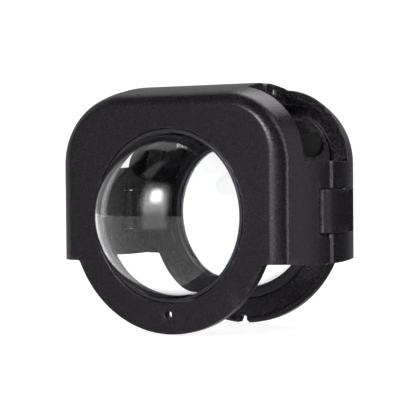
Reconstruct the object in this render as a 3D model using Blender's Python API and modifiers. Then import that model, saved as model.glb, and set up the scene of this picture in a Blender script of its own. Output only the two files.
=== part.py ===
"""Clip-on lens guard for a two-lens action camera.

Two moulded shells close around the camera head. They turn on a steel pin at the top and are
held shut by a latch lever on each side. Each shell carries a clear dome over one lens.

World frame: +Z up, +X to the right, -Y towards the front shell. The origin is on the axis of
the two lenses, in the parting plane between the shells. Lengths below are in millimetres.
"""
import math

import bmesh
import bpy
from mathutils import Matrix, Vector

MM = 0.001

# Overall body
FACE_Y = 15.7            # outer face of each shell, from the parting plane
PLATE = 2.0              # thickness of the face plate
WALL = 1.5               # thickness of the side and top walls
PART_GAP = 0.2           # each wall stops this far from the parting plane
FACE_HALF_WIDTH, FACE_TOP, FACE_CORNER = 23.7, 22.0, 10.4
RIM_HALF_WIDTH, RIM_TOP, RIM_CORNER = 26.1, 23.9, 13.8
CHAMFER_DEPTH = 1.4      # face edge to rim, front to back
FLARE_X, FLARE_Z, FLARE_CORNER = 2.0, 2.5, 1.6
WALL_BOTTOM, WALL_BOTTOM_DROP = -9.2, 0.45
CHIN_RADIUS = 23.46
STEP_Z = 10.56           # top of the side walls beside the corner windows
WINDOW_DEPTH = 6.4       # the corner walls reach this far back from the face

# Lens opening and its stack of rings; depths are measured inwards from the outer face
OPENING_RADIUS, SEAT_RADIUS, SEAT_DEPTH = 17.36, 18.3, 0.7
DOME_RADIUS, DOME_WALL, DOME_CENTRE_DEPTH = 16.56, 0.6, 3.6
FLANGE_RADIUS, FLANGE_DEPTHS = 18.1, (1.15, 1.6)
BEZEL_RADII, BEZEL_DEPTHS = (16.42, 17.1), (0.0, 0.6)
GASKET_RADII, GASKET_DEPTHS = (17.3, 18.1), (0.82, 1.03)
RETAINER_RADII, RETAINER_DEPTHS = (16.0, 18.1), (1.75, 2.3)

# Inside of the face plate
RIB_HALF_WIDTH, RIB_TOP, RIB_CORNER = 21.4, 20.8, 9.9
RIB_WIDTH, RIB_HEIGHT, RIB_FOOT = 1.0, 0.8, 0.4
PAD_X, PAD_Z, PAD_RADIUS, PAD_THICKNESS, PAD_GAP = 16.85, 14.05, 2.5, 0.8, 0.15
CHIN_HOLE_Z, CHIN_HOLE_RADIUS = -19.5, 0.8
NOTCH_RADIUS, NOTCH_MOUTH, NOTCH_HEIGHT = 1.0, 1.7, 1.6

# Top hinge
PIN_Y, PIN_Z, PIN_RADIUS, PIN_BORE = 3.7, 24.55, 0.65, 0.72
LUG_HALF_WIDTH, LUG_FRONT_Y, LUG_BOTTOM_Z = 13.6, -1.0, 22.6
LUG_TOP = ((0.6, 26.2), (-0.65, 25.9), (-1.0, 25.2))   # rounded front corner of the lugs, in Y and Z
ARM_HALF_WIDTH, ARM_RADIUS, ARM_BOTTOM_Z, ARM_TOP_Z = 6.5, 1.6, 22.95, 26.0
ARM_ROOT_Y, ARM_KNEE_Y, ARM_SLOPE = -6.0, 1.6, 0.35
SLOT_CLEARANCE, SLOT_SWING_ROOM = 0.35, 0.2
FRONT_TOP_HALF_WIDTH, FRONT_TOP_EDGE_Y = 14.7, -2.6

# Side latches, given for the right side and mirrored for the left
LATCH_Z = (-3.6, 5.0)
LATCH_PIN_X, LATCH_PIN_Y, LATCH_PIN_RADIUS, LATCH_BORE = 26.5, 8.3, 0.6, 0.68
LATCH_KNUCKLE = 1.4
LATCH_FRONT_Y, LATCH_INNER_X = -3.9, 27.62
LATCH_BACK = ((28.38, -3.7), (28.76, -1.4), (28.92, 1.5), (28.9, 4.5), (28.86, 6.6), (28.79, 7.8),
              (28.63, 8.8), (28.35, 9.4), (27.85, 9.7))   # outer surface from grip to knuckle, in X and Y
LATCH_SWING_ROOM = 1.15   # behind the knuckle, so that the lever's back swings past the wall
RECESS_X, RECESS_MARGIN, RECESS_RELIEF = 27.32, 0.35, 1.0
RIDGE_Y, RIDGE_HALF_WIDTH, RIDGE_HEIGHT, RIDGE_INSET = -2.3, 0.5, 0.2, 1.0
GROOVE_HALF_WIDTH = 0.7
BOSS_INNER_X, BOSS_HALF_DEPTH, BOSS_HEIGHT, BOSS_OVERLAP = 25.0, 1.5, 3.0, 0.5
LATCH_PIN_OVERRUN, LATCH_PIN_END_GAP = 2.4, 0.3

PAST = 40.0              # cutters reach this far out, past every outer surface
SUNK = 0.3               # how deep a joined detail is sunk into its wall

CORNER_STEPS = 8
RING_STEPS = 64
DOME_STEPS = 7


def reset_scene():
    for obj in list(bpy.data.objects):
        bpy.data.objects.remove(obj, do_unlink=True)


def new_collection(name):
    collection = bpy.data.collections.new(name)
    bpy.context.scene.collection.children.link(collection)
    return collection


def make_material(name, colour, roughness, metallic=0.0, transmission=0.0):
    material = bpy.data.materials.new(name)
    material.use_nodes = True
    shader = material.node_tree.nodes["Principled BSDF"]
    shader.inputs["Base Color"].default_value = (*colour, 1.0)
    shader.inputs["Roughness"].default_value = roughness
    shader.inputs["Metallic"].default_value = metallic
    shader.inputs["Transmission Weight"].default_value = transmission
    return material


def add_object(name, bm, material, collection):
    """Turns a bmesh in millimetres into an object in metres."""
    bmesh.ops.recalc_face_normals(bm, faces=bm.faces)
    bmesh.ops.scale(bm, vec=Vector((MM, MM, MM)), verts=bm.verts)
    mesh = bpy.data.meshes.new(name)
    bm.to_mesh(mesh)
    bm.free()
    obj = bpy.data.objects.new(name, mesh)
    collection.objects.link(obj)
    if material:
        mesh.materials.append(material)
    return obj


def smooth_round(obj, angle=30.0):
    obj.data.shade_smooth()
    obj.data.set_sharp_from_angle(angle=math.radians(angle))


# ---------------------------------------------------------------- outlines and solids

def arc(cx, cz, radius, start, end, steps):
    """Points on an arc; angles in degrees from +X towards +Z."""
    points = []
    for i in range(steps + 1):
        a = math.radians(start + (end - start) * i / steps)
        points.append((cx + radius * math.cos(a), cz + radius * math.sin(a)))
    return points


def d_outline(half_width, top, corner, bottom):
    """Flat-bottomed outline with two round top corners, anticlockwise seen from +Y to -Y."""
    right = arc(half_width - corner, top - corner, corner, 0, 90, CORNER_STEPS)
    left = [(-x, z) for x, z in reversed(right)]
    return [(-half_width, bottom), (half_width, bottom)] + right + left


def loft(sections):
    """Closed solid through matching outlines; sections is a list of (y, outline)."""
    bm = bmesh.new()
    rings = [[bm.verts.new((x, y, z)) for x, z in outline] for y, outline in sections]
    count = len(rings[0])
    for near, far in zip(rings, rings[1:]):
        for i in range(count):
            j = (i + 1) % count
            bm.faces.new((near[i], near[j], far[j], far[i]))
    bm.faces.new(rings[0])
    bm.faces.new(list(reversed(rings[-1])))
    return bm


def prism_y(outline, y0, y1):
    return loft([(y0, outline), (y1, outline)])


def prism_x(outline_yz, x0, x1):
    """Extrudes an outline drawn in Y and Z along X."""
    bm = loft([(x0, outline_yz), (x1, outline_yz)])
    for vert in bm.verts:
        y, x, z = vert.co
        vert.co = (x, y, z)
    return bm


def prism_z(outline_xy, z0, z1):
    """Extrudes an outline drawn in X and Y along Z."""
    bm = loft([(z0, outline_xy), (z1, outline_xy)])
    for vert in bm.verts:
        x, z, y = vert.co
        vert.co = (x, y, z)
    return bm


def box(x0, x1, y0, y1, z0, z1):
    bm = bmesh.new()
    bmesh.ops.create_cube(bm, size=1.0)
    size = Vector((x1 - x0, y1 - y0, z1 - z0))
    centre = Vector((x0 + x1, y0 + y1, z0 + z1)) / 2
    bmesh.ops.scale(bm, vec=size, verts=bm.verts)
    bmesh.ops.translate(bm, vec=centre, verts=bm.verts)
    return bm


def cylinder(radius, centre, length, axis, steps=RING_STEPS):
    """Solid cylinder centred on a point, along the X, Y or Z axis."""
    bm = bmesh.new()
    bmesh.ops.create_cone(bm, cap_ends=True, segments=steps, radius1=radius, radius2=radius, depth=length)
    turn = {"X": Matrix.Rotation(math.pi / 2, 4, "Y"), "Y": Matrix.Rotation(math.pi / 2, 4, "X"),
            "Z": Matrix.Identity(4)}[axis]
    bmesh.ops.transform(bm, matrix=Matrix.Translation(Vector(centre)) @ turn, verts=bm.verts)
    return bm


def turned(name, profile, side, material, collection, closed):
    """Ring or dome turned about the lens axis.

    profile lists (radius, depth), starting on the outer side nearest the face. side is -1 for
    the front shell and +1 for the rear one.
    """
    bm = bmesh.new()
    verts = [bm.verts.new((radius, 0.0, -depth)) for radius, depth in profile]
    for a, b in zip(verts, verts[1:]):
        bm.edges.new((a, b))
    if closed:
        bm.edges.new((verts[-1], verts[0]))
    obj = add_object(name, bm, material, collection)
    screw = obj.modifiers.new("turn", "SCREW")
    screw.axis = "Z"
    screw.steps = RING_STEPS
    screw.render_steps = RING_STEPS
    screw.use_merge_vertices = True
    screw.merge_threshold = 0.00001
    screw.use_smooth_shade = True
    obj.rotation_euler = (-side * math.pi / 2, 0.0, 0.0)
    obj.location = (0.0, side * FACE_Y * MM, 0.0)
    return obj


def boolean(obj, tool_bm, operation, guides):
    """Cuts a tool out of an object, or joins it on. The tool stays as a wire guide."""
    tool = add_object(obj.name + "_tool", tool_bm, None, guides)
    tool.hide_render = True
    tool.display_type = "WIRE"
    modifier = obj.modifiers.new(operation.lower(), "BOOLEAN")
    modifier.operation = operation
    modifier.solver = "EXACT"
    modifier.object = tool


def mirrored(x0, x1, side):
    """An X span given for the right side, moved to the left one when side is -1."""
    return (x0, x1) if side > 0 else (-x1, -x0)


# ---------------------------------------------------------------- shells

def flare(depth):
    """How far the walls have swollen at a depth: 0 at the rim, 1 at the parting plane."""
    t = max(0.0, depth - CHAMFER_DEPTH) / (FACE_Y - CHAMFER_DEPTH)
    return 1.0 - (1.0 - t) ** 2


def wall_section(depth, inset):
    """Outline of the walls at a depth, inset from the outer surface."""
    s = flare(depth)
    half_width = RIM_HALF_WIDTH + FLARE_X * s - inset
    top = RIM_TOP + FLARE_Z * s - inset
    corner = RIM_CORNER + FLARE_CORNER * s - inset
    return half_width, top, corner, WALL_BOTTOM - WALL_BOTTOM_DROP * s


def outer_sections(side):
    face = d_outline(FACE_HALF_WIDTH, FACE_TOP, FACE_CORNER, WALL_BOTTOM)
    sections = [(side * FACE_Y, face)]
    for depth in (CHAMFER_DEPTH, 3.6, 6.0, 9.0, 12.0, FACE_Y - PART_GAP):
        sections.append((side * (FACE_Y - depth), d_outline(*wall_section(depth, 0.0))))
    return sections


def cavity_sections(side):
    """The inside: it starts at the plate, and runs out of the bottom and past the parting plane."""
    sections = []
    for depth in (PLATE, 3.6, 6.0, 9.0, 12.0, FACE_Y - PART_GAP, FACE_Y + 1.0):
        half_width, top, corner, _ = wall_section(depth, WALL)
        sections.append((side * (FACE_Y - depth), d_outline(half_width, top, corner, WALL_BOTTOM - 4.0)))
    return sections


def rib_outline():
    """U-shaped band that locates the camera body on the face plate."""
    inner_half, inner_top = RIB_HALF_WIDTH - RIB_WIDTH, RIB_TOP - RIB_WIDTH
    bottom = WALL_BOTTOM + RIB_FOOT
    outer = d_outline(RIB_HALF_WIDTH, RIB_TOP, RIB_CORNER, bottom)[1:]
    outer.append((-RIB_HALF_WIDTH, bottom))
    inner = d_outline(inner_half, inner_top, RIB_CORNER - RIB_WIDTH, bottom)[1:]
    inner.append((-inner_half, bottom))
    return outer + list(reversed(inner))


def make_shell(name, side, material, parts, guides):
    """Walls, face plate, chin and lens seat shared by both shells."""
    face = side * FACE_Y
    shell = add_object(name, loft(outer_sections(side)), material, parts)
    boolean(shell, loft(cavity_sections(side)), "DIFFERENCE", guides)
    chin = cylinder(CHIN_RADIUS, (0, face - side * PLATE / 2, 0), PLATE, "Y")
    boolean(shell, chin, "UNION", guides)
    rib_ys = sorted((face - side * (PLATE - SUNK), face - side * (PLATE + RIB_HEIGHT)))
    boolean(shell, prism_y(rib_outline(), *rib_ys), "UNION", guides)
    boolean(shell, cylinder(OPENING_RADIUS, (0, face, 0), 4 * PLATE, "Y"), "DIFFERENCE", guides)
    seat_length = 4.0
    seat_y = face - side * (SEAT_DEPTH + seat_length / 2)
    boolean(shell, cylinder(SEAT_RADIUS, (0, seat_y, 0), seat_length, "Y"), "DIFFERENCE", guides)
    return shell


def cut_corner_windows(shell, side, half_width, guides):
    """Opens both top corners between the shells."""
    ys = sorted((side * (FACE_Y - WINDOW_DEPTH), -side * 2.0))
    for hand in (-1, 1):
        xs = mirrored(half_width, PAST, hand)
        boolean(shell, box(*xs, *ys, STEP_Z, PAST), "DIFFERENCE", guides)


def latch_recess(hand, y0, y1, relief):
    """Flat-floored pocket under the lever; its lower edge slopes away towards y1."""
    low = LATCH_Z[0] - RECESS_MARGIN
    high = LATCH_Z[1] + RECESS_MARGIN
    outline = [(y0, low), (y1, low - relief), (y1, high), (y0, high)]
    return prism_x(outline, *mirrored(RECESS_X, PAST, hand))


def make_front_shell(material, parts, guides):
    shell = make_shell("front_shell", -1, material, parts, guides)
    cut_corner_windows(shell, -1, FRONT_TOP_HALF_WIDTH, guides)
    top_cut = box(-PAST, PAST, FRONT_TOP_EDGE_Y, PIN_Y, LUG_BOTTOM_Z - WALL, PAST)
    boolean(shell, top_cut, "DIFFERENCE", guides)
    arm = [(ARM_ROOT_Y, ARM_BOTTOM_Z), (PIN_Y, PIN_Z - ARM_RADIUS)]
    arm += arc(PIN_Y, PIN_Z, ARM_RADIUS, -75, 65, 10)
    arm += [(ARM_KNEE_Y, ARM_TOP_Z), (ARM_ROOT_Y, ARM_TOP_Z - ARM_SLOPE)]
    boolean(shell, prism_x(arm, -ARM_HALF_WIDTH, ARM_HALF_WIDTH), "UNION", guides)
    bore = cylinder(PIN_BORE, (0, PIN_Y, PIN_Z), PAST, "X", 24)
    boolean(shell, bore, "DIFFERENCE", guides)
    chin_hole = cylinder(CHIN_HOLE_RADIUS, (0, -FACE_Y, CHIN_HOLE_Z), 4 * PLATE, "Y", 24)
    boolean(shell, chin_hole, "DIFFERENCE", guides)
    for hand in (-1, 1):
        y_front = LATCH_FRONT_Y - RECESS_MARGIN
        boolean(shell, latch_recess(hand, y_front, 1.0, RECESS_RELIEF), "DIFFERENCE", guides)
        front, back = RIDGE_Y - RIDGE_HALF_WIDTH, RIDGE_Y + RIDGE_HALF_WIDTH
        ridge = [(RECESS_X - SUNK, front), (RECESS_X, front), (RECESS_X + RIDGE_HEIGHT, RIDGE_Y),
                 (RECESS_X, back), (RECESS_X - SUNK, back)]
        ridge = [(hand * x, y) for x, y in ridge]
        span = LATCH_Z[0] + RIDGE_INSET, LATCH_Z[1] - RIDGE_INSET
        boolean(shell, prism_z(ridge, *span), "UNION", guides)
    return shell


def make_rear_shell(material, parts, guides):
    shell = make_shell("rear_shell", 1, material, parts, guides)
    root_depth = WINDOW_DEPTH - 1.0
    root_y = FACE_Y - root_depth
    root_top = RIM_TOP + FLARE_Z * flare(root_depth) - WALL / 2
    lug = [(LUG_FRONT_Y, LUG_BOTTOM_Z), (root_y, LUG_BOTTOM_Z - SUNK), (root_y, root_top), *LUG_TOP]
    cut_corner_windows(shell, 1, LUG_HALF_WIDTH, guides)
    lug_half = LUG_HALF_WIDTH - 0.02
    boolean(shell, prism_x(lug, -lug_half, lug_half), "UNION", guides)
    slot_half = ARM_HALF_WIDTH + SLOT_CLEARANCE
    slot_back = PIN_Y + ARM_RADIUS + SLOT_CLEARANCE + SLOT_SWING_ROOM
    slot = box(-slot_half, slot_half, -slot_back, slot_back, LUG_BOTTOM_Z - 2 * WALL, PAST)
    boolean(shell, slot, "DIFFERENCE", guides)
    bore = cylinder(PIN_BORE, (0, PIN_Y, PIN_Z), PAST, "X", 24)
    boolean(shell, bore, "DIFFERENCE", guides)
    notch_top = -CHIN_RADIUS + NOTCH_HEIGHT
    notch = arc(0, notch_top - NOTCH_RADIUS, NOTCH_RADIUS, 10, 170, 8)
    notch += [(-NOTCH_MOUTH, -CHIN_RADIUS - 1.0), (NOTCH_MOUTH, -CHIN_RADIUS - 1.0)]
    boolean(shell, prism_y(notch, FACE_Y - 2 * PLATE, FACE_Y + 1.0), "DIFFERENCE", guides)
    low, high = LATCH_Z[0] - RECESS_MARGIN, LATCH_Z[1] + RECESS_MARGIN
    knuckle_front = LATCH_PIN_Y - LATCH_KNUCKLE - RECESS_MARGIN
    knuckle_back = LATCH_PIN_Y + LATCH_KNUCKLE + LATCH_SWING_ROOM
    boss_ys = LATCH_PIN_Y - BOSS_HALF_DEPTH, LATCH_PIN_Y + BOSS_HALF_DEPTH
    boss_zs = (low - BOSS_HEIGHT, low + BOSS_OVERLAP), (high - BOSS_OVERLAP, high + BOSS_HEIGHT)
    bore_length = LATCH_Z[1] - LATCH_Z[0] + 2 * (LATCH_PIN_OVERRUN + LATCH_PIN_END_GAP)
    for hand in (-1, 1):
        for span in boss_zs:
            boss = box(*mirrored(BOSS_INNER_X, LATCH_PIN_X, hand), *boss_ys, *span)
            boolean(shell, boss, "UNION", guides)
        boolean(shell, latch_recess(hand, knuckle_back, -1.0, 0.0), "DIFFERENCE", guides)
        window = box(*mirrored(SEAT_RADIUS, PAST, hand), knuckle_front, knuckle_back, low, high)
        boolean(shell, window, "DIFFERENCE", guides)
        centre = (hand * LATCH_PIN_X, LATCH_PIN_Y, sum(LATCH_Z) / 2)
        boolean(shell, cylinder(LATCH_BORE, centre, bore_length, "Z", 24), "DIFFERENCE", guides)
    return shell


# ---------------------------------------------------------------- lens stack

def ring_profile(radii, depths):
    inner, outer = radii
    near, far = depths
    return [(outer, near), (outer, far), (inner, far), (inner, near)]


def make_bezel(name, side, material, parts):
    """Trim ring between the dome and the shell, with a small chamfer on its outer edge."""
    inner, outer = BEZEL_RADII
    near, far = BEZEL_DEPTHS
    profile = [(outer - 0.2, near), (outer, near + 0.2), (outer, far), (inner + 0.15, far), (inner, near)]
    return turned(name, profile, side, material, parts, closed=True)


def make_dome(name, side, material, parts):
    """Clear part-sphere with a flat flange that is trapped behind the seat."""
    near, far = FLANGE_DEPTHS
    inner_radius = DOME_RADIUS - DOME_WALL

    def on_sphere(radius, depth):
        return math.sqrt(radius ** 2 - (DOME_CENTRE_DEPTH - depth) ** 2)

    def cap(radius, depth):
        """From the pole to the circle at a depth."""
        end = math.acos((DOME_CENTRE_DEPTH - depth) / radius)
        angles = [end * i / DOME_STEPS for i in range(DOME_STEPS)]
        points = [(radius * math.sin(a), DOME_CENTRE_DEPTH - radius * math.cos(a)) for a in angles]
        return points + [(on_sphere(radius, depth), depth)]

    outside = cap(DOME_RADIUS, near) + [(FLANGE_RADIUS, near), (FLANGE_RADIUS, far)]
    inside = cap(inner_radius, far)
    return turned(name, outside + list(reversed(inside)), side, material, parts, closed=False)


def make_lens_stack(prefix, side, materials, parts):
    make_bezel(prefix + "_bezel_ring", side, materials["trim"], parts)
    make_dome(prefix + "_dome", side, materials["clear"], parts)
    gasket = ring_profile(GASKET_RADII, GASKET_DEPTHS)
    turned(prefix + "_dome_gasket", gasket, side, materials["rubber"], parts, closed=True)
    retainer = ring_profile(RETAINER_RADII, RETAINER_DEPTHS)
    turned(prefix + "_retaining_ring", retainer, side, materials["trim"], parts, closed=True)


def make_pads(prefix, side, material, parts):
    """Round soft pads in the two top corners, which stop the camera body from rattling."""
    y = side * (FACE_Y - PLATE - PAD_GAP - PAD_THICKNESS / 2)
    for hand, word in ((-1, "left"), (1, "right")):
        pad = cylinder(PAD_RADIUS, (hand * PAD_X, y, PAD_Z), PAD_THICKNESS, "Y", 32)
        smooth_round(add_object(prefix + "_corner_pad_" + word, pad, material, parts))


# ---------------------------------------------------------------- hinge and latches

def make_hinge_pin(material, parts):
    length = 2 * LUG_HALF_WIDTH
    pin = add_object("hinge_pin", cylinder(PIN_RADIUS, (0, 0, 0), length, "X", 24), material, parts)
    pin.location = (0.0, PIN_Y * MM, PIN_Z * MM)
    smooth_round(pin)


def latch_outline():
    """Lever seen from above, for the right side: front grip, arched back and round knuckle."""
    outer = [(LATCH_BACK[0][0] - 0.12, LATCH_FRONT_Y), *LATCH_BACK]
    knuckle = arc(LATCH_PIN_X, LATCH_PIN_Y, LATCH_KNUCKLE, 70, 250, 12)
    inner_start = (LATCH_INNER_X, LATCH_PIN_Y - LATCH_KNUCKLE)
    groove = [(LATCH_INNER_X, RIDGE_Y + GROOVE_HALF_WIDTH), (LATCH_INNER_X + RIDGE_HEIGHT, RIDGE_Y),
              (LATCH_INNER_X, RIDGE_Y - GROOVE_HALF_WIDTH)]
    return outer + knuckle + [inner_start] + groove + [(LATCH_INNER_X, LATCH_FRONT_Y)]


def make_latch(word, hand, plastic, steel, parts, guides):
    outline = [(hand * x, y) for x, y in latch_outline()]
    latch = add_object("latch_lever_" + word, prism_z(outline, *LATCH_Z), plastic, parts)
    centre = Vector((hand * LATCH_PIN_X, LATCH_PIN_Y, sum(LATCH_Z) / 2))
    boolean(latch, cylinder(LATCH_BORE, centre, PAST, "Z", 24), "DIFFERENCE", guides)
    smooth_round(latch)
    length = LATCH_Z[1] - LATCH_Z[0] + 2 * LATCH_PIN_OVERRUN
    pin = add_object("latch_pin_" + word, cylinder(LATCH_PIN_RADIUS, (0, 0, 0), length, "Z", 24), steel, parts)
    pin.location = centre * MM
    smooth_round(pin)


def main():
    reset_scene()
    parts = new_collection("lens_guard")
    guides = new_collection("guides")
    materials = {
        "shell": make_material("shell_plastic", (0.032, 0.030, 0.033), 0.55),
        "trim": make_material("trim_plastic", (0.040, 0.040, 0.048), 0.35),
        "clear": make_material("dome_clear", (0.95, 0.96, 0.97), 0.03, transmission=1.0),
        "rubber": make_material("soft_rubber", (0.020, 0.021, 0.023), 0.85),
        "steel": make_material("pin_steel", (0.62, 0.62, 0.60), 0.25, metallic=1.0),
    }
    smooth_round(make_front_shell(materials["shell"], parts, guides))
    smooth_round(make_rear_shell(materials["shell"], parts, guides))
    for prefix, side in (("front", -1), ("rear", 1)):
        make_lens_stack(prefix, side, materials, parts)
        make_pads(prefix, side, materials["rubber"], parts)
    make_hinge_pin(materials["steel"], parts)
    for word, hand in (("right", 1), ("left", -1)):
        make_latch(word, hand, materials["shell"], materials["steel"], parts, guides)


main()
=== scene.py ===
# The looks of the clip-on lens guard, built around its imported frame.
#
# Lengths are in millimetres unless a name ends in _M. Depths are measured inwards from the outer
# face of a shell. side is -1 for the front shell and +1 for the rear one; hand is +1 on the right.

import math

import bmesh
import bpy
import numpy as np
from mathutils import Matrix, Vector


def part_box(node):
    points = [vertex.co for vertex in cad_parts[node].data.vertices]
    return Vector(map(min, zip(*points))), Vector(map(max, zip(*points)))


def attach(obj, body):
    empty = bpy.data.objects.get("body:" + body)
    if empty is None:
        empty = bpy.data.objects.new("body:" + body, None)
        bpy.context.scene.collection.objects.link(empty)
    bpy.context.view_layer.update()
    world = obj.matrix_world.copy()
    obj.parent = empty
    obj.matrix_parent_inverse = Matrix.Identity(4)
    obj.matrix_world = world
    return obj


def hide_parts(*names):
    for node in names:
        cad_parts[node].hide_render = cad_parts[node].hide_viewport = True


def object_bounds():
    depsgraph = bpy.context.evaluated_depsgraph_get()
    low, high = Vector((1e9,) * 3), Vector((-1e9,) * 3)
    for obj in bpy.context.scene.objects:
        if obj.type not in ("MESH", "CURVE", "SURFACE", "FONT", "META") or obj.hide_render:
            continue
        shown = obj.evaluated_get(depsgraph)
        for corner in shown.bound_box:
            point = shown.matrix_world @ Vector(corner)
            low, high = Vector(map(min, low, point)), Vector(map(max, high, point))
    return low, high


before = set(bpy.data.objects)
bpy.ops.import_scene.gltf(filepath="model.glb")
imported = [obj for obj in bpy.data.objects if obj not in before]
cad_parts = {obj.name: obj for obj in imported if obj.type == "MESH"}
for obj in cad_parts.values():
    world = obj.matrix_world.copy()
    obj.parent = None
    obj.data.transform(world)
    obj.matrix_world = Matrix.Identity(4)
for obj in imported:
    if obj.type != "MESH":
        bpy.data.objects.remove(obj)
CAD_BOX = [list(corner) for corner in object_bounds()]

MM = 0.001

# Body, as in the frame
FACE_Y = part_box("rear_shell")[1].y / MM
PLATE, WALL, PART_GAP = 2.0, 1.5, 0.2
FACE = dict(half=23.7, top=22.0, corner=10.4)
RIM = dict(half=26.1, top=23.9, corner=13.8)
CHAMFER_DEPTH = 1.4
FACE_ROUND_IN, FACE_ROUND_OUT = 0.32, 0.52    # share of the chamfer before and after the face's edge
RIM_ROUND_IN, RIM_ROUND_DEPTH = 0.40, 1.0     # share of the chamfer, and depth, round the rim
WALL_DEPTHS = (3.4, 4.6, 6.2, 8.0, 10.0, 12.0, 13.6)
CAVITY_DEPTHS = (PLATE, 3.6, 6.0, 8.0, 10.0, 12.5)
CAVITY_DROP = 4.0
FLARE = dict(half=2.0, top=2.5, corner=1.6)
WALL_BOTTOM, WALL_BOTTOM_DROP = -9.2, 0.45
CHIN_RADIUS = 23.46
STEP_Z, WINDOW_DEPTH, WINDOW_OVERRUN = 10.56, 6.4, 2.0
FRONT_RIM_BAND = 0.6
REAR_RIM_LENGTH, REAR_RIM_INSET, REAR_RIM_ROUND = 1.0, 0.53, 0.12    # chamfer at the parting plane

# Lens opening
OPENING_RADIUS, SEAT_RADIUS, SEAT_DEPTH, SEAT_CUT = 17.36, 18.3, 0.7, 4.0
DOME_RADIUS, DOME_WALL, DOME_CENTRE_DEPTH = 16.56, 0.6, 3.6
FLANGE_RADIUS, FLANGE_DEPTHS = 18.1, (1.15, 1.6)
BEZEL_RADII, BEZEL_DEPTHS, BEZEL_LEAN, BEZEL_ROUND = (16.42, 17.1), (0.0, 0.6), 0.15, 0.16
RETAINER_RADII, RETAINER_DEPTHS, RETAINER_ROUND = (16.0, 18.1), (1.75, 2.3), 0.08
RETAINER_OUTER_CHAMFER, RETAINER_INNER_CHAMFER = (0.35, 0.12), (0.5, 0.3)

# Inside details
RIB = dict(half=21.4, top=20.8, corner=9.9)
RIB_WIDTH, RIB_HEIGHT, RIB_FOOT = 1.0, 0.8, 0.4
CHIN_HOLE_Z, CHIN_HOLE_RADIUS = -19.5, 0.8
NOTCH_RADIUS, NOTCH_MOUTH, NOTCH_HEIGHT = 1.0, 1.7, 1.6
CHIN_LIP_INSET, CHIN_LIP_WIDTH, CHIN_LIP_HEIGHT, CHIN_LIP_ANGLES = 0.35, 0.8, 0.35, (-154, -26)

# Hinge
PIN_Y, PIN_Z, PIN_BORE = 3.7, 24.55, 0.72
LUG_HALF_WIDTH, LUG_FRONT_Y, LUG_BOTTOM_Z, LUG_SLOPE, LUG_INTO_WALL = 13.6, -1.0, 22.6, 0.3, 1.0
LUG_TOP = ((PIN_Y, 26.05), (0.6, 26.2), (-0.65, 25.9), (-1.0, 25.2))
ARM_HALF_WIDTH, ARM_RADIUS, ARM_BOTTOM_Z, ARM_TOP_Z = 6.5, 1.6, 22.95, 26.0
ARM_ROOT_Y, ARM_KNEE_Y, ARM_SLOPE = -6.0, 1.6, 0.35
SLOT_CLEARANCE, SLOT_SWING_ROOM, SLOT_FRONT_Y = 0.35, 0.2, -4.0
FRONT_TOP_HALF_WIDTH, FRONT_TOP_EDGE_Y = 14.7, -2.6
TOP_CUT_HALF_WIDTH, TOP_CUT_BACK_Y, TOP_CUT_BOTTOM_Z = 20.0, 4.0, 18.0

# Latches
LATCH_Z = (-3.6, 5.0)
LATCH_PIN_X, LATCH_PIN_Y, LATCH_BORE, LATCH_KNUCKLE = 26.5, 8.3, 0.68, 1.4
LATCH_FRONT_Y, LATCH_INNER_X, LATCH_SWING_ROOM = -3.9, 27.62, 1.15
LATCH_TIP = ((27.93, -3.9), (28.37, -3.1))
LATCH_BACK = ((28.76, -1.4), (28.92, 1.5), (28.9, 4.5), (28.86, 6.6), (28.79, 7.8),
              (28.63, 8.8), (28.35, 9.4), (27.85, 9.7))
LATCH_GAP = 0.12
RECESS_X, RECESS_MARGIN, RECESS_RELIEF = 27.32, 0.35, 1.0
RIDGE_Y, RIDGE_HALF_WIDTH, RIDGE_HEIGHT, RIDGE_INSET = -2.3, 0.5, 0.2, 1.0
GROOVE_HALF_WIDTH = 0.7
BOSS_INNER_X, BOSS_HEIGHT, BOSS_HALF_DEPTH, BOSS_OVERLAP = 25.0, 3.0, 1.5, 0.5
LATCH_PIN_OVERRUN, LATCH_PIN_END_GAP = 2.4, 0.3
KNUCKLE_CUT_INNER_X = 20.0

PAST = 40.0          # beyond the object, for cutters
SUNK = 0.3           # how deep a shape that is joined on starts inside its neighbour
CORNER_STEPS = 24
RING_STEPS = 128
BORE_STEPS = 32
EDGE_ROUND, LEVER_ROUND, PIN_ROUND = 0.18, 0.22, 0.16
CELL, CELL_SHIFT = 3.0, 0.37         # grid that big faces are cut into, off the symmetry plane
TINY_EDGE, CUT_TOLERANCE = 0.02, 0.03

FRONT_BODY, REAR_BODY = "front_half", "rear_half"
HALVES = (("front", -1, FRONT_BODY), ("rear", 1, REAR_BODY))
HANDS = (("right", 1), ("left", -1))

GRAIN_GLOSS = 0.04
GRAIN_DEPTH_M = 0.00008
FLOOR_HALF_WIDTH_M, FLOOR_GAP_M, FLOOR_GLOW = 6.0, 0.0002, 0.82
BACKDROP_WHITE = 1.1


# ================================================================ materials

def node_material(name):
    material = bpy.data.materials.new(name)
    material.use_nodes = True
    tree = material.node_tree
    shader = tree.nodes["Principled BSDF"]
    place = tree.nodes.new("ShaderNodeTexCoord")
    return material, tree, shader, place.outputs["Object"]


def noise(tree, where, scale, detail=2.0, roughness=0.5):
    node = tree.nodes.new("ShaderNodeTexNoise")
    node.inputs["Scale"].default_value = scale
    node.inputs["Detail"].default_value = detail
    node.inputs["Roughness"].default_value = roughness
    tree.links.new(where, node.inputs["Vector"])
    return node.outputs["Fac"]


def math_node(tree, operation, *values):
    node = tree.nodes.new("ShaderNodeMath")
    node.operation = operation
    for socket, value in zip(node.inputs, values):
        if isinstance(value, (int, float)):
            socket.default_value = value
        else:
            tree.links.new(value, socket)
    return node.outputs[0]


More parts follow.
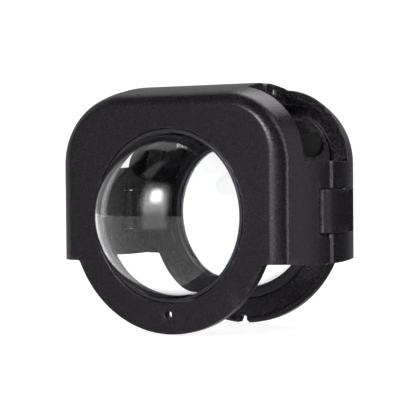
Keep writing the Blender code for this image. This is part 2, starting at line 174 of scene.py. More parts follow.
def remap(tree, value, low, high, from_low=0.3, from_high=0.7):
    node = tree.nodes.new("ShaderNodeMapRange")
    node.inputs["From Min"].default_value = from_low
    node.inputs["From Max"].default_value = from_high
    node.inputs["To Min"].default_value = low
    node.inputs["To Max"].default_value = high
    tree.links.new(value, node.inputs["Value"])
    return node.outputs["Result"]


def blend_colour(tree, factor, dark, light):
    node = tree.nodes.new("ShaderNodeMix")
    node.data_type = "RGBA"
    node.inputs["A"].default_value = (*dark, 1.0)
    node.inputs["B"].default_value = (*light, 1.0)
    tree.links.new(factor, node.inputs["Factor"])
    return node.outputs["Result"]


def bump(tree, height, strength, distance_m, normal=None):
    node = tree.nodes.new("ShaderNodeBump")
    node.inputs["Strength"].default_value = strength
    node.inputs["Distance"].default_value = distance_m
    tree.links.new(height, node.inputs["Height"])
    if normal:
        tree.links.new(normal, node.inputs["Normal"])
    return node.outputs["Normal"]


def moulded_plastic(name, dark, light, worn, rough, grain_scale, grain_strength):
    """Textured black plastic: colour cloud, spark-eroded grain, polished and rubbed edges."""
    material, tree, shader, where = node_material(name)
    cloud = noise(tree, where, scale=260.0, detail=4.0, roughness=0.6)
    grain = noise(tree, where, scale=grain_scale, detail=3.0, roughness=0.65)
    peel = noise(tree, where, scale=900.0, detail=1.0)
    scuff = noise(tree, where, scale=700.0, detail=5.0, roughness=0.7)
    speckle = math_node(tree, "ADD", remap(tree, grain, 0.0, 0.65), remap(tree, cloud, 0.0, 0.35))
    base = blend_colour(tree, speckle, dark, light)
    edge = tree.nodes.new("ShaderNodeAttribute")
    edge.attribute_name = "edge"
    rub = math_node(tree, "MULTIPLY", edge.outputs["Fac"], remap(tree, scuff, 0.15, 1.0))
    mix = tree.nodes.new("ShaderNodeMix")
    mix.data_type = "RGBA"
    mix.inputs["B"].default_value = (*worn, 1.0)
    tree.links.new(rub, mix.inputs["Factor"])
    tree.links.new(base, mix.inputs["A"])
    tree.links.new(mix.outputs["Result"], shader.inputs["Base Color"])
    patchy = remap(tree, grain, rough - GRAIN_GLOSS, rough + GRAIN_GLOSS)
    tree.links.new(math_node(tree, "MULTIPLY_ADD", rub, -0.12, patchy), shader.inputs["Roughness"])
    coarse = bump(tree, peel, 0.10, GRAIN_DEPTH_M)
    tree.links.new(bump(tree, grain, grain_strength, GRAIN_DEPTH_M, coarse), shader.inputs["Normal"])
    shader.inputs["Specular Tint"].default_value = (0.97, 0.90, 1.0, 1.0)
    return material


def clear_dome():
    """Clear optical plastic with the faintest haze of handling."""
    material, tree, shader, where = node_material("dome_clear")
    shader.inputs["Base Color"].default_value = (0.985, 0.99, 0.99, 1.0)
    shader.inputs["IOR"].default_value = 1.49
    shader.inputs["Transmission Weight"].default_value = 1.0
    haze = noise(tree, where, scale=180.0, detail=6.0, roughness=0.7)
    tree.links.new(remap(tree, haze, 0.0, 0.012, 0.5, 0.85), shader.inputs["Roughness"])
    ripple = noise(tree, where, scale=60.0, detail=0.0)
    tree.links.new(bump(tree, ripple, 0.03, 0.0002), shader.inputs["Normal"])
    return material


def soft_rubber():
    """Matt black rubber with a fine tooth."""
    material, tree, shader, where = node_material("soft_rubber")
    cloud = noise(tree, where, scale=600.0, detail=5.0, roughness=0.6)
    dark, light = (0.0070, 0.0066, 0.0072), (0.0150, 0.0144, 0.0156)
    colour = blend_colour(tree, remap(tree, cloud, 0.0, 1.0), dark, light)
    tree.links.new(colour, shader.inputs["Base Color"])
    tree.links.new(remap(tree, cloud, 0.72, 0.9), shader.inputs["Roughness"])
    grain = noise(tree, where, scale=5200.0, detail=2.0)
    tree.links.new(bump(tree, grain, 0.35, 0.00005), shader.inputs["Normal"])
    return material


def drawn_steel():
    """Bright wire with a fine speckle and drawing marks."""
    material, tree, shader, where = node_material("pin_steel")
    shader.inputs["Metallic"].default_value = 1.0
    speck = noise(tree, where, scale=2600.0, detail=4.0, roughness=0.6)
    dark, light = (0.55, 0.55, 0.54), (0.80, 0.80, 0.78)
    colour = blend_colour(tree, remap(tree, speck, 0.0, 1.0), dark, light)
    tree.links.new(colour, shader.inputs["Base Color"])
    tree.links.new(remap(tree, speck, 0.22, 0.4), shader.inputs["Roughness"])
    lines = noise(tree, where, scale=4200.0, detail=1.0)
    tree.links.new(bump(tree, lines, 0.15, 0.00002), shader.inputs["Normal"])
    return material


MATERIALS = {
    "shell_plastic": moulded_plastic("shell_plastic", dark=(0.0055, 0.0046, 0.0060),
                                     light=(0.0105, 0.0090, 0.0112), worn=(0.045, 0.040, 0.046),
                                     rough=0.28, grain_scale=2300.0, grain_strength=0.45),
    "trim_plastic": moulded_plastic("trim_plastic", dark=(0.018, 0.018, 0.024),
                                    light=(0.026, 0.026, 0.033), worn=(0.06, 0.06, 0.07),
                                    rough=0.30, grain_scale=5200.0, grain_strength=0.12),
    "dome_clear": clear_dome(),
    "soft_rubber": soft_rubber(),
    "pin_steel": drawn_steel(),
}


# ================================================================ mesh helpers

def arc(cx, cz, radius, start, end, steps):
    """Points on a circle from one angle to another, in degrees."""
    angles = [math.radians(start + (end - start) * i / steps) for i in range(steps + 1)]
    return [(cx + radius * math.cos(a), cz + radius * math.sin(a)) for a in angles]


def d_outline(half, top, corner, bottom):
    """Flat-bottomed outline with two round top corners."""
    right = arc(half - corner, top - corner, corner, 0, 90, CORNER_STEPS)
    left = [(-x, z) for x, z in reversed(right)]
    return [(-half, bottom), (half, bottom)] + right + left


def loft(sections):
    """Closed solid through matching outlines; sections is a list of (y, outline)."""
    bm = bmesh.new()
    rings = [[bm.verts.new((x, y, z)) for x, z in outline] for y, outline in sections]
    count = len(rings[0])
    for near, far in zip(rings, rings[1:]):
        for i in range(count):
            j = (i + 1) % count
            bm.faces.new((near[i], near[j], far[j], far[i]))
    bm.faces.new(rings[0])
    bm.faces.new(list(reversed(rings[-1])))
    bmesh.ops.recalc_face_normals(bm, faces=bm.faces)
    return bm


def prism(outline, low, high, axis):
    """Extrudes an outline along an axis: (x, z) along Y, (y, z) along X, or (x, y) along Z."""
    bm = loft([(low, outline), (high, outline)])
    for vert in bm.verts:
        a, along, b = vert.co
        if axis == "X":
            vert.co = (along, a, b)
        if axis == "Z":
            vert.co = (a, b, along)
    bmesh.ops.recalc_face_normals(bm, faces=bm.faces)
    return bm


def box(x0, x1, y0, y1, z0, z1):
    return prism([(x0, z0), (x1, z0), (x1, z1), (x0, z1)], y0, y1, "Y")


def cylinder(radius, centre, length, axis, steps=RING_STEPS):
    bm = bmesh.new()
    bmesh.ops.create_cone(bm, cap_ends=True, segments=steps, radius1=radius, radius2=radius, depth=length)
    turn = {"X": Matrix.Rotation(math.pi / 2, 4, "Y"), "Y": Matrix.Rotation(math.pi / 2, 4, "X"),
            "Z": Matrix.Identity(4)}[axis]
    bmesh.ops.transform(bm, matrix=Matrix.Translation(Vector(centre)) @ turn, verts=bm.verts)
    return bm


def add_piece(name, bm, material=None):
    """Makes the millimetre mesh an object, in metres."""
    bmesh.ops.scale(bm, vec=Vector((MM, MM, MM)), verts=bm.verts)
    mesh = bpy.data.meshes.new(name)
    bm.to_mesh(mesh)
    bm.free()
    piece = bpy.data.objects.new(name, mesh)
    bpy.context.scene.collection.objects.link(piece)
    if material:
        mesh.materials.append(MATERIALS[material])
    return piece


def apply_modifiers(piece):
    """Bakes the modifiers into the mesh."""
    graph = bpy.context.evaluated_depsgraph_get()
    mesh = bpy.data.meshes.new_from_object(piece.evaluated_get(graph), preserve_all_data_layers=True,
                                           depsgraph=graph)
    old = piece.data
    piece.modifiers.clear()
    piece.data = mesh
    bpy.data.meshes.remove(old)


def boolean(piece, tool_bm, operation):
    """Joins the tool to the piece or cuts it out, and removes the tool."""
    tool = add_piece("tool", tool_bm)
    modifier = piece.modifiers.new("boolean", "BOOLEAN")
    modifier.operation = operation
    modifier.solver = "EXACT"
    modifier.object = tool
    bpy.context.view_layer.update()
    apply_modifiers(piece)
    mesh = tool.data
    bpy.data.objects.remove(tool)
    bpy.data.meshes.remove(mesh)


def mark_edges(piece, angle):
    """Stores which corners of the mesh lie on an outer edge, for the edge wear."""
    mesh = piece.data
    bm = bmesh.new()
    bm.from_mesh(mesh)
    near = np.zeros(len(bm.verts), np.float32)
    for edge in bm.edges:
        if len(edge.link_faces) == 2 and edge.is_convex and edge.calc_face_angle(0) > math.radians(angle):
            for vert in edge.verts:
                near[vert.index] = 1.0
    bm.free()
    attribute = mesh.attributes.new("edge", "FLOAT", "POINT")
    attribute.data.foreach_set("value", near)


def split_big_faces(piece):
    """Cuts the piece into cells and then triangles, so that rounding an edge can't fold a face over."""
    bm = bmesh.new()
    bm.from_mesh(piece.data)
    bmesh.ops.dissolve_degenerate(bm, dist=TINY_EDGE * MM, edges=bm.edges)
    for axis in (Vector((1, 0, 0)), Vector((0, 0, 1))):
        reach = max(abs(vert.co.dot(axis)) for vert in bm.verts)
        cuts = int(reach / (CELL * MM))
        for i in range(-cuts, cuts + 1):
            place = axis * (i + CELL_SHIFT) * CELL * MM
            bmesh.ops.bisect_plane(bm, geom=bm.verts[:] + bm.edges[:] + bm.faces[:],
                                   dist=CUT_TOLERANCE * MM, plane_co=place, plane_no=axis)
    big = [face for face in bm.faces if len(face.verts) > 4]
    bmesh.ops.triangulate(bm, faces=big, ngon_method="BEAUTY")
    bm.to_mesh(piece.data)
    bm.free()


def keep_in_box(piece):
    """Rounding can push a corner slightly past the frame's box; this brings it back."""
    vertices = piece.data.vertices
    places = np.empty(3 * len(vertices), np.float32)
    vertices.foreach_get("co", places)
    inside = np.clip(places.reshape(-1, 3), *CAD_BOX)
    vertices.foreach_set("co", inside.ravel().astype(np.float32))
    piece.data.update()


def round_edges(piece, width_mm, segments=3, angle=32.0):
    """Rounds the moulded edges, keeps flat faces flat, and marks the rounded edges for wear."""
    split_big_faces(piece)
    bevel = piece.modifiers.new("round", "BEVEL")
    bevel.width = width_mm * MM
    bevel.segments = segments
    bevel.limit_method = "ANGLE"
    bevel.angle_limit = math.radians(angle)
    bevel.use_clamp_overlap = False
    bevel.face_strength_mode = "FSTR_ALL"
    normals = piece.modifiers.new("normals", "WEIGHTED_NORMAL")
    normals.mode = "FACE_AREA"
    normals.use_face_influence = True
    piece.data.shade_smooth()
    apply_modifiers(piece)
    keep_in_box(piece)
    mark_edges(piece, angle=16.0)


def mirrored(x0, x1, hand):
    """A span of x on the right side, or its mirror image on the left."""
    return (x0, x1) if hand > 0 else (-x1, -x0)


def claim(piece, body, slot, *nodes):
    """The piece rides on a body and stands for CAD nodes, which it hides. The slot argument is not used."""
    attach(piece, body)
    if nodes:
        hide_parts(*nodes)


# ================================================================ shells

def flare(depth):
    """0 at the rim and 1 at the parting plane, on a curve."""
    t = max(0.0, depth - CHAMFER_DEPTH) / (FACE_Y - CHAMFER_DEPTH)
    return 1.0 - (1.0 - t) ** 2


def wall_at(depth, inset=0.0):
    """(half width, top, corner radius, bottom, depth) of the walls at a depth."""
    s = flare(depth)
    return np.array([RIM["half"] + FLARE["half"] * s - inset, RIM["top"] + FLARE["top"] * s - inset,
                     RIM["corner"] + FLARE["corner"] * s - inset, WALL_BOTTOM - WALL_BOTTOM_DROP * s, depth])


def curve_between(start, corner, end, steps):
    """Sections on a smooth round from start to end that bends towards corner."""
    sections = []
    for i in range(steps + 1):
        t = i / steps
        sections.append(start * (1 - t) ** 2 + corner * 2 * t * (1 - t) + end * t ** 2)
    return sections


def outer_profile(side):
    """The outside from the face edge, round two soft corners, to the parting plane."""
    face = np.array([FACE["half"], FACE["top"], FACE["corner"], WALL_BOTTOM, 0.0])
    rim = wall_at(CHAMFER_DEPTH)
    chamfer = rim - face
    level = chamfer * np.array([1, 1, 1, 0, 0])
    sections = curve_between(face - level * FACE_ROUND_IN, face, face + chamfer * FACE_ROUND_OUT, 9)
    sections += curve_between(rim - chamfer * RIM_ROUND_IN, rim, wall_at(CHAMFER_DEPTH + RIM_ROUND_DEPTH), 9)
    sections += [wall_at(depth) for depth in WALL_DEPTHS]
    end = FACE_Y - PART_GAP
    if side < 0:
        sections += [wall_at(end - FRONT_RIM_BAND), wall_at(end)]
    else:
        shoulder = wall_at(end - REAR_RIM_LENGTH)
        lip = wall_at(end, REAR_RIM_INSET)
        lip[3] = wall_at(end)[3]
        past = shoulder + (lip - shoulder) * REAR_RIM_ROUND
        before = wall_at(end - REAR_RIM_LENGTH - REAR_RIM_ROUND)
        sections += curve_between(before, shoulder, past, 3) + [lip]
    return sections


def to_loft(sections, side):
    """Turns (half width, top, corner, bottom, depth) sections into outlines at their y."""
    return [(side * (FACE_Y - s[4]), d_outline(*s[:4])) for s in sections]


def cavity_profile():
    """The hollow from the face plate to past the parting plane, open at the bottom."""
    sections = []
    for depth in (*CAVITY_DEPTHS, FACE_Y - PART_GAP, FACE_Y + 1.0):
        section = wall_at(depth, WALL)
        section[3] = WALL_BOTTOM - CAVITY_DROP
        sections.append(section)
    return sections


def band(outline_of, width, bottom):
    """U-shaped band of a width inside an outline, open at the bottom."""
    def path(inset):
        half, top, corner = (outline_of[k] - inset for k in ("half", "top", "corner"))
        return d_outline(half, top, corner, bottom)[1:] + [(-half, bottom)]
    return path(0.0) + list(reversed(path(width)))


def chin_outline():
    """Round chin that starts where the walls end, with a flat top sunk into the face plate."""
    start = math.degrees(math.asin(WALL_BOTTOM / CHIN_RADIUS))
    chin = arc(0, 0, CHIN_RADIUS, -180 - start, start, 96)
    shoulder = chin[-1][0]
    return chin + [(shoulder, WALL_BOTTOM + 2.0), (-shoulder, WALL_BOTTOM + 2.0)]


def chin_lip(side):
    """Low raised border inside the chin: a half ring."""
    y0, y1 = sorted((side * (FACE_Y - PLATE + SUNK), side * (FACE_Y - PLATE - CHIN_LIP_HEIGHT)))
    radius = CHIN_RADIUS - CHIN_LIP_INSET
    start, end = CHIN_LIP_ANGLES
    outer = arc(0, 0, radius, start, end, 64)
    inner = arc(0, 0, radius - CHIN_LIP_WIDTH, end, start, 64)
    return prism(outer + inner, y0, y1, "Y")


def base_shell(name, side):
    """What both shells share: walls, face plate, chin, ribs and the seat of the lens."""
    face = side * FACE_Y
    shell = add_piece(name, loft(to_loft(outer_profile(side), side)), "shell_plastic")
    boolean(shell, loft(to_loft(cavity_profile(), side)), "DIFFERENCE")
    boolean(shell, prism(chin_outline(), *sorted((face, face - side * PLATE)), "Y"), "UNION")
    rib_ys = sorted((face - side * (PLATE - SUNK), face - side * (PLATE + RIB_HEIGHT)))
    boolean(shell, prism(band(RIB, RIB_WIDTH, WALL_BOTTOM + RIB_FOOT), *rib_ys, "Y"), "UNION")
    boolean(shell, chin_lip(side), "UNION")
    boolean(shell, cylinder(OPENING_RADIUS, (0, face, 0), 4 * PLATE, "Y"), "DIFFERENCE")
    seat_y = face - side * (SEAT_DEPTH + SEAT_CUT / 2)
    boolean(shell, cylinder(SEAT_RADIUS, (0, seat_y, 0), SEAT_CUT, "Y"), "DIFFERENCE")
    return shell


def cut_corner_windows(shell, side, half_width):
    """Opens both top corners beside the hinge."""
    ys = sorted((side * (FACE_Y - WINDOW_DEPTH), -side * WINDOW_OVERRUN))
    for hand in (-1, 1):
        boolean(shell, box(*mirrored(half_width, PAST, hand), *ys, STEP_Z, PAST), "DIFFERENCE")


def latch_recess(hand, y0, y1, relief):
    """Cutter for the flat that a lever lies in, deeper below by relief at its y1 end."""
    low, high = LATCH_Z[0] - LATCH_GAP, LATCH_Z[1] + LATCH_GAP
    outline = [(y0, low), (y1, low - relief), (y1, high), (y0, high)]
    return prism(outline, *mirrored(RECESS_X, PAST, hand), "X")


def catch_ridge(hand):
    """Low ridge across the recess that the lever's groove comes down over."""
    front, back = RIDGE_Y - RIDGE_HALF_WIDTH, RIDGE_Y + RIDGE_HALF_WIDTH
    sunk = RECESS_X - SUNK
    outline = [(sunk, front), (RECESS_X, front), (RECESS_X + RIDGE_HEIGHT, RIDGE_Y), (RECESS_X, back),
               (sunk, back)]
    return prism([(hand * x, y) for x, y in outline], LATCH_Z[0] + RIDGE_INSET, LATCH_Z[1] - RIDGE_INSET, "Z")


def front_shell():
    """The half with the hinge arm, the chin hole and the ridges that the levers catch."""
    shell = base_shell("front_shell_body", -1)
    cut_corner_windows(shell, -1, FRONT_TOP_HALF_WIDTH)
    top_cut = box(-TOP_CUT_HALF_WIDTH, TOP_CUT_HALF_WIDTH, FRONT_TOP_EDGE_Y, TOP_CUT_BACK_Y,
                  TOP_CUT_BOTTOM_Z, PAST)
    boolean(shell, top_cut, "DIFFERENCE")
    arm = [(ARM_ROOT_Y, ARM_BOTTOM_Z), (PIN_Y, PIN_Z - ARM_RADIUS)]
    arm += arc(PIN_Y, PIN_Z, ARM_RADIUS, -75, 65, 16)
    arm += [(ARM_KNEE_Y, ARM_TOP_Z), (ARM_ROOT_Y, ARM_TOP_Z - ARM_SLOPE)]
    boolean(shell, prism(arm, -ARM_HALF_WIDTH, ARM_HALF_WIDTH, "X"), "UNION")
    boolean(shell, cylinder(PIN_BORE, (0, PIN_Y, PIN_Z), PAST, "X", BORE_STEPS), "DIFFERENCE")
    chin_hole = cylinder(CHIN_HOLE_RADIUS, (0, -FACE_Y, CHIN_HOLE_Z), 4 * PLATE, "Y", BORE_STEPS)
    boolean(shell, chin_hole, "DIFFERENCE")
    for hand in (-1, 1):
        recess = latch_recess(hand, LATCH_FRONT_Y - RECESS_MARGIN, 1.0, RECESS_RELIEF)
        boolean(shell, recess, "DIFFERENCE")
        boolean(shell, catch_ridge(hand), "UNION")
    return shell


def cut_chin_notch(shell):
    """Small keyhole notch in the rim of the rear chin."""
    notch_z = -CHIN_RADIUS + NOTCH_HEIGHT
    notch = arc(0, notch_z - NOTCH_RADIUS, NOTCH_RADIUS, 10, 170, 16)
    notch += [(-NOTCH_MOUTH, -CHIN_RADIUS - 1.0), (NOTCH_MOUTH, -CHIN_RADIUS - 1.0)]
    boolean(shell, prism(notch, FACE_Y - 2 * PLATE, FACE_Y + 1.0, "Y"), "DIFFERENCE")


def fit_latch(shell, hand):
    """Bosses and bore for a lever's pin, and the window that its knuckle turns in."""
    low, high = LATCH_Z[0] - LATCH_GAP, LATCH_Z[1] + LATCH_GAP
    front = LATCH_PIN_Y - LATCH_KNUCKLE - LATCH_GAP
    back = LATCH_PIN_Y + LATCH_KNUCKLE + LATCH_SWING_ROOM
    boss_ys = LATCH_PIN_Y - BOSS_HALF_DEPTH, LATCH_PIN_Y + BOSS_HALF_DEPTH
    for z0, z1 in ((low - BOSS_HEIGHT, low + BOSS_OVERLAP), (high - BOSS_OVERLAP, high + BOSS_HEIGHT)):
        boolean(shell, box(*mirrored(BOSS_INNER_X, LATCH_PIN_X, hand), *boss_ys, z0, z1), "UNION")
    boolean(shell, latch_recess(hand, back, -1.0, 0.0), "DIFFERENCE")
    boolean(shell, box(*mirrored(KNUCKLE_CUT_INNER_X, PAST, hand), front, back, low, high), "DIFFERENCE")
    length = LATCH_Z[1] - LATCH_Z[0] + 2 * (LATCH_PIN_OVERRUN + LATCH_PIN_END_GAP)
    centre = (hand * LATCH_PIN_X, LATCH_PIN_Y, sum(LATCH_Z) / 2)
    boolean(shell, cylinder(LATCH_BORE, centre, length, "Z", BORE_STEPS), "DIFFERENCE")


def rear_shell():
    """The half with the hinge lugs, the chin notch and the levers' pins."""
    shell = base_shell("rear_shell_body", 1)
    cut_corner_windows(shell, 1, LUG_HALF_WIDTH)
    lug_depth = WINDOW_DEPTH - LUG_INTO_WALL
    lug_back = FACE_Y - lug_depth
    lug_top = RIM["top"] + FLARE["top"] * flare(lug_depth) - WALL / 2
    lug = [(LUG_FRONT_Y, LUG_BOTTOM_Z), (lug_back, LUG_BOTTOM_Z - LUG_SLOPE), (lug_back, lug_top), *LUG_TOP]
    half = LUG_HALF_WIDTH - TINY_EDGE    # not flush with the window that was cut
    boolean(shell, prism(lug, -half, half, "X"), "UNION")
    slot_half = ARM_HALF_WIDTH + SLOT_CLEARANCE
    slot_back = PIN_Y + ARM_RADIUS + SLOT_CLEARANCE + SLOT_SWING_ROOM
    slot = box(-slot_half, slot_half, SLOT_FRONT_Y, slot_back, TOP_CUT_BOTTOM_Z, PAST)
    boolean(shell, slot, "DIFFERENCE")
    boolean(shell, cylinder(PIN_BORE, (0, PIN_Y, PIN_Z), PAST, "X", BORE_STEPS), "DIFFERENCE")
    cut_chin_notch(shell)
    for hand in (-1, 1):
        fit_latch(shell, hand)
    return shell


for make, body, node in ((front_shell, FRONT_BODY, "front_shell"), (rear_shell, REAR_BODY, "rear_shell")):
    shell = make()
    round_edges(shell, EDGE_ROUND)
    claim(shell, body, "shell_plastic", node)


# ================================================================ lens stack

def turned(name, profile, side, material, closed):
    """A ring or dome turned about the lens axis from (radius, depth) points."""
    bm = bmesh.new()
    verts = [bm.verts.new((radius, 0.0, -depth)) for radius, depth in profile]
    edges = [bm.edges.new(pair) for pair in zip(verts, verts[1:])]
    if closed:
        edges.append(bm.edges.new((verts[-1], verts[0])))
    bmesh.ops.spin(bm, geom=verts + edges, cent=(0, 0, 0), axis=(0, 0, 1), angle=2 * math.pi,
                   steps=RING_STEPS, use_merge=True, use_duplicate=False)
    bmesh.ops.remove_doubles(bm, verts=bm.verts, dist=0.0001)
    bmesh.ops.recalc_face_normals(bm, faces=bm.faces)
    turn = Matrix.Translation((0, side * FACE_Y, 0)) @ Matrix.Rotation(-side * math.pi / 2, 4, "X")
    bmesh.ops.transform(bm, matrix=turn, verts=bm.verts)
    piece = add_piece(name, bm, material)
    piece.data.shade_smooth()
    return piece


def rounded(profile, radius, steps=3):
    """Replaces each corner of a closed profile by a small round."""
    points = [np.array(p) for p in profile]
    out = []
    for i, corner in enumerate(points):
        before, after = points[i - 1], points[(i + 1) % len(points)]
        start = corner + (before - corner) * min(0.45, radius / np.linalg.norm(before - corner))
        end = corner + (after - corner) * min(0.45, radius / np.linalg.norm(after - corner))
        for k in range(steps + 1):
            t = k / steps
            out.append(tuple(start * (1 - t) ** 2 + corner * 2 * t * (1 - t) + end * t ** 2))
    return out


def bezel():
    """Section of the trim ring in front of the dome's flange."""
    inner, outer = BEZEL_RADII
    near, far = BEZEL_DEPTHS
    return rounded([(outer, near), (outer, far), (inner + BEZEL_LEAN, far), (inner, near)], BEZEL_ROUND)


def retainer():
    """Section of the ring behind the dome's flange, chamfered towards the inside of the shell."""
    inner, outer = RETAINER_RADII
    near, far = RETAINER_DEPTHS
    outer_width, outer_drop = RETAINER_OUTER_CHAMFER
    inner_width, inner_drop = RETAINER_INNER_CHAMFER
    profile = [(outer, near), (outer, far - outer_drop), (outer - outer_width, far),
               (inner + inner_width, far), (inner, far - inner_drop), (inner, near)]
    return rounded(profile, RETAINER_ROUND, 2)


def dome_profile():
    """Outside pole to flange, then back along the inside to the pole."""
    near, far = FLANGE_DEPTHS

    def cap(radius, depth, steps=28):
        end = math.acos((DOME_CENTRE_DEPTH - depth) / radius)
        angles = [end * i / steps for i in range(steps + 1)]
        return [(radius * math.sin(a), DOME_CENTRE_DEPTH - radius * math.cos(a)) for a in angles]

    outside = cap(DOME_RADIUS, near) + [(FLANGE_RADIUS, near), (FLANGE_RADIUS, far)]
    return outside + list(reversed(cap(DOME_RADIUS - DOME_WALL, far)))


RINGS = (("_bezel", bezel, "_bezel_ring"), ("_retainer", retainer, "_retaining_ring"))
for word, side, body in HALVES:
    for ring, section, node in RINGS:
        piece = turned(word + ring, section(), side, "trim_plastic", True)
        mark_edges(piece, angle=12.0)
        claim(piece, body, "trim_plastic", word + node)
    piece = turned(word + "_dome_shell", dome_profile(), side, "dome_clear", False)
    piece.data.set_sharp_from_angle(angle=math.radians(40))
    claim(piece, body, "dome_clear", word + "_dome")
    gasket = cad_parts[word + "_dome_gasket"]
    gasket.data.materials.clear()
    gasket.data.materials.append(MATERIALS["soft_rubber"])


# ================================================================ pads, pins and latches

def soft_disc(name, node, material):
    """Slightly crowned disc with a rounded rim, filling its CAD node's box."""
    low, high = (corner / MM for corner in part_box(node))
    side = 1 if low.y > 0 else -1
    radius, thickness = (high.x - low.x) / 2, high.y - low.y
    crown = [(radius * f, thickness * (1.0 - 0.10 * f * f)) for f in (0.0, 0.25, 0.5, 0.7)]
    rim = [(radius * 0.9, thickness * 0.82), (radius * 0.975, thickness * 0.62), (radius, thickness * 0.35),
           (radius, 0.0), (radius * 0.5, 0.0), (0.0, 0.0)]
    base = FACE_Y - (high.y if side > 0 else -low.y)
    profile = [(r, base + h) for r, h in crown + rim]
    piece = turned(name, profile, side, material, False)
    piece.data.set_sharp_from_angle(angle=math.radians(50))
    centre = (low + high) / 2
    piece.data.transform(Matrix.Translation((centre.x * MM, 0, centre.z * MM)))
    return piece


def wire_pin(name, node, axis):
    """Wire pin with rounded ends, filling its CAD node's box."""
    low, high = (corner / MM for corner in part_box(node))
    centre = (low + high) / 2
    size = high - low
    index = "XYZ".index(axis)
    length, radius = size[index], size[(index + 1) % 3] / 2
    piece = add_piece(name, cylinder(radius, centre, length, axis, 48), "pin_steel")
    bevel = piece.modifiers.new("round", "BEVEL")
    bevel.width = PIN_ROUND * MM
    bevel.segments = 3
    bevel.limit_method = "ANGLE"
    bevel.angle_limit = math.radians(40)
    apply_modifiers(piece)
    piece.data.shade_smooth()
    piece.data.set_sharp_from_angle(angle=math.radians(35))
    return piece


def smooth_through(points, steps=3):
    """Catmull-Rom curve through the points."""
    points = [np.array(p) for p in points]
    padded = [2 * points[0] - points[1], *points, 2 * points[-1] - points[-2]]
    curve = []
    for a, b, c, d in zip(padded, padded[1:], padded[2:], padded[3:]):
        for k in range(steps):
            t = k / steps
            square, cube = 2 * a - 5 * b + 4 * c - d, 3 * b - a - 3 * c + d
            curve.append(tuple(b + 0.5 * t * (c - a + t * (square + t * cube))))
    return curve + [tuple(points[-1])]


def latch_outline():
    """The lever from above: crowned back, knuckle round the pin, and the groove near its tip."""
    back = [LATCH_TIP[0], *smooth_through((LATCH_TIP[1], *LATCH_BACK))]
    knuckle = arc(LATCH_PIN_X, LATCH_PIN_Y, LATCH_KNUCKLE, 70, 250, 24)
    groove = [(LATCH_INNER_X, RIDGE_Y + GROOVE_HALF_WIDTH), (LATCH_INNER_X + RIDGE_HEIGHT, RIDGE_Y),
              (LATCH_INNER_X, RIDGE_Y - GROOVE_HALF_WIDTH)]
    start, tip = (LATCH_INNER_X, LATCH_PIN_Y - LATCH_KNUCKLE), (LATCH_INNER_X, LATCH_FRONT_Y)
    return back + knuckle + [start] + groove + [tip]


for word, _, body in HALVES:
    for hand_word in ("left", "right"):
        node = f"{word}_corner_pad_{hand_word}"
        claim(soft_disc(f"{word}_pad_{hand_word}", node, "soft_rubber"), body, "soft_rubber", node)

claim(wire_pin("hinge_wire", "hinge_pin", "X"), REAR_BODY, "pin_steel", "hinge_pin")

for hand_word, hand in HANDS:
    outline = [(hand * x, y) for x, y in latch_outline()]
    lever = add_piece("lever_" + hand_word, prism(outline, *LATCH_Z, "Z"), "shell_plastic")
    centre = (hand * LATCH_PIN_X, LATCH_PIN_Y, sum(LATCH_Z) / 2)
    boolean(lever, cylinder(LATCH_BORE, centre, PAST, "Z", BORE_STEPS), "DIFFERENCE")
    round_edges(lever, LEVER_ROUND)
    claim(lever, "latch_" + hand_word, "shell_plastic", "latch_lever_" + hand_word)
    pin = wire_pin("lever_wire_" + hand_word, "latch_pin_" + hand_word, "Z")
    claim(pin, REAR_BODY, "pin_steel", "latch_pin_" + hand_word)


# ================================================================ stage, lights and camera

def make_floor():
    """Pale table top. It takes the shadow; its glow on the object comes with the studio."""
    bm = bmesh.new()
    bmesh.ops.create_grid(bm, x_segments=1, y_segments=1, size=FLOOR_HALF_WIDTH_M)
    bmesh.ops.translate(bm, vec=(0, 0, CAD_BOX[0][2] - FLOOR_GAP_M), verts=bm.verts)
    mesh = bpy.data.meshes.new("floor")
    bm.to_mesh(mesh)
    bm.free()
    floor = bpy.data.objects.new("floor", mesh)
    bpy.context.scene.collection.objects.link(floor)
    floor.visible_diffuse = False
    floor.visible_glossy = False
    floor.visible_shadow = False
    material, tree, shader, where = node_material("floor_paper")
    tooth = noise(tree, where, scale=900.0, detail=3.0)
    tree.links.new(bump(tree, tooth, 0.1, 0.0001), shader.inputs["Normal"])
    shader.inputs["Base Color"].default_value = (0.5, 0.5, 0.5, 1.0)
    shader.inputs["Roughness"].default_value = 0.95
    shader.inputs["Specular IOR Level"].default_value = 0.0
    shader.inputs["Emission Color"].default_value = (1.0, 1.0, 1.0, 1.0)
    shader.inputs["Emission Strength"].default_value = FLOOR_GLOW
    mesh.materials.append(material)


def direction(azimuth, elevation):
    """Unit vector; azimuth 0 is in front (-Y) and 90 is to the right."""
    a, e = math.radians(azimuth), math.radians(elevation)
    return Vector((math.sin(a) * math.cos(e), -math.cos(a) * math.cos(e), math.sin(e)))


def soft_window(tree, angle, half, soft):
    """1 where an angle is nearer to zero than half, fading out over a soft edge; in degrees."""
    node = tree.nodes.new("ShaderNodeMapRange")
    node.interpolation_type = "SMOOTHSTEP"
    node.inputs["From Min"].default_value = math.radians(half + soft / 2)
    node.inputs["From Max"].default_value = math.radians(half - soft / 2)
    node.inputs["To Min"].default_value = 0.0
    node.inputs["To Max"].default_value = 1.0
    tree.links.new(math_node(tree, "ABSOLUTE", angle), node.inputs["Value"])
    return node.outputs["Result"]


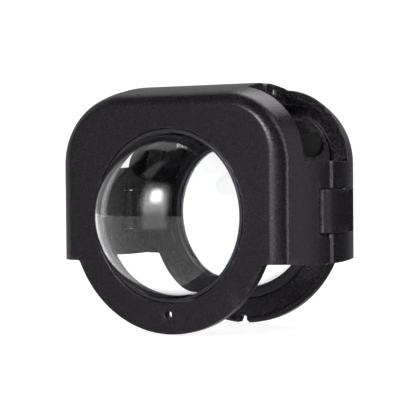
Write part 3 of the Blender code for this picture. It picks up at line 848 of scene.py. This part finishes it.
def studio_panel(tree, towards, azimuth, elevation, half_width, half_height, soft, brightness):
    """Soft-edged glowing panel in the studio, facing the object."""
    turn = tree.nodes.new("ShaderNodeVectorRotate")
    turn.rotation_type = "Z_AXIS"
    turn.inputs["Angle"].default_value = -math.radians(azimuth)
    tree.links.new(towards, turn.inputs["Vector"])
    axis = tree.nodes.new("ShaderNodeSeparateXYZ")
    tree.links.new(turn.outputs["Vector"], axis.inputs[0])
    x, y, z = axis.outputs
    sideways = math_node(tree, "ARCTAN2", x, math_node(tree, "MULTIPLY", y, -1.0))
    upward = math_node(tree, "SUBTRACT", math_node(tree, "ARCSINE", z), math.radians(elevation))
    width = soft_window(tree, sideways, half_width, soft)
    height = soft_window(tree, upward, half_height, soft)
    return math_node(tree, "MULTIPLY", math_node(tree, "MULTIPLY", width, height), brightness)


# azimuth, elevation, half width, half height, soft edge, brightness
PANELS = {
    "key_core": (2, 27, 7, 7, 12, 22.0),
    "key_glow": (0, 24, 18, 16, 18, 2.6),
    "key_column": (1, 8, 17, 24, 8, 1.8),
    "key_upper": (-30, 62, 12, 14, 8, 0.4),
    "front_left_panel": (-49, 21, 30, 24, 3, 0.15),
    "backdrop": (-132, 20, 48, 32, 8, 0.32),
    "table": (-60, -45, 118, 44, 8, 0.29),
    "table_far": (-125, -25, 40, 22, 6, 0.26),
    "back_top_softbox": (180, 57, 32, 12, 4, 3.4),
    "back_top_wing": (-132, 62, 20, 13, 5, 0.5),
    "right_strip": (91, 20, 6, 44, 5, 5.0),
    "right_wall": (126, -5, 13, 45, 6, 0.60),
}
STUDIO_DARK = 0.015


def make_world():
    """Studio seen by the object. The camera's own straight view of it is plain white."""
    world = bpy.data.worlds.new("studio")
    bpy.context.scene.world = world
    world.use_nodes = True
    tree = world.node_tree
    background = tree.nodes["Background"]
    background.inputs["Color"].default_value = (1.0, 1.0, 1.0, 1.0)
    towards = tree.nodes.new("ShaderNodeTexCoord").outputs["Generated"]
    studio = STUDIO_DARK
    for panel in PANELS.values():
        studio = math_node(tree, "ADD", studio_panel(tree, towards, *panel), studio)
    path = tree.nodes.new("ShaderNodeLightPath")
    bounces = math_node(tree, "ADD", path.outputs["Diffuse Depth"], path.outputs["Glossy Depth"])
    seen = math_node(tree, "LESS_THAN", bounces, 0.5)
    white = math_node(tree, "MULTIPLY", seen, BACKDROP_WHITE)
    rest = math_node(tree, "MULTIPLY", math_node(tree, "SUBTRACT", 1.0, seen), studio)
    tree.links.new(math_node(tree, "ADD", white, rest), background.inputs["Strength"])


def make_camera():
    """Where the photographer stood: to the right, almost level with the lens axis."""
    stand_azimuth, stand_elevation, stand_distance = 33.10, 1.36, 316.6
    look_azimuth, look_elevation, roll = 31.639, 1.094, -0.45
    camera = bpy.data.cameras.new("camera")
    camera.sensor_width = 36.0
    camera.lens = 138.94
    camera.clip_start = 0.01
    holder = bpy.data.objects.new("camera", camera)
    bpy.context.scene.collection.objects.link(holder)
    front_centre = Vector((0.0, -FACE_Y, 0.0))
    holder.location = (front_centre + direction(stand_azimuth, stand_elevation) * stand_distance) * MM
    look_back = direction(look_azimuth, look_elevation)
    turn = look_back.to_track_quat("Z", "Y")
    holder.rotation_mode = "QUATERNION"
    holder.rotation_quaternion = turn @ Matrix.Rotation(math.radians(roll), 4, "Z").to_quaternion()
    bpy.context.scene.camera = holder


make_floor()
make_world()
make_camera()
bpy.context.scene.view_settings.view_transform = "Standard"
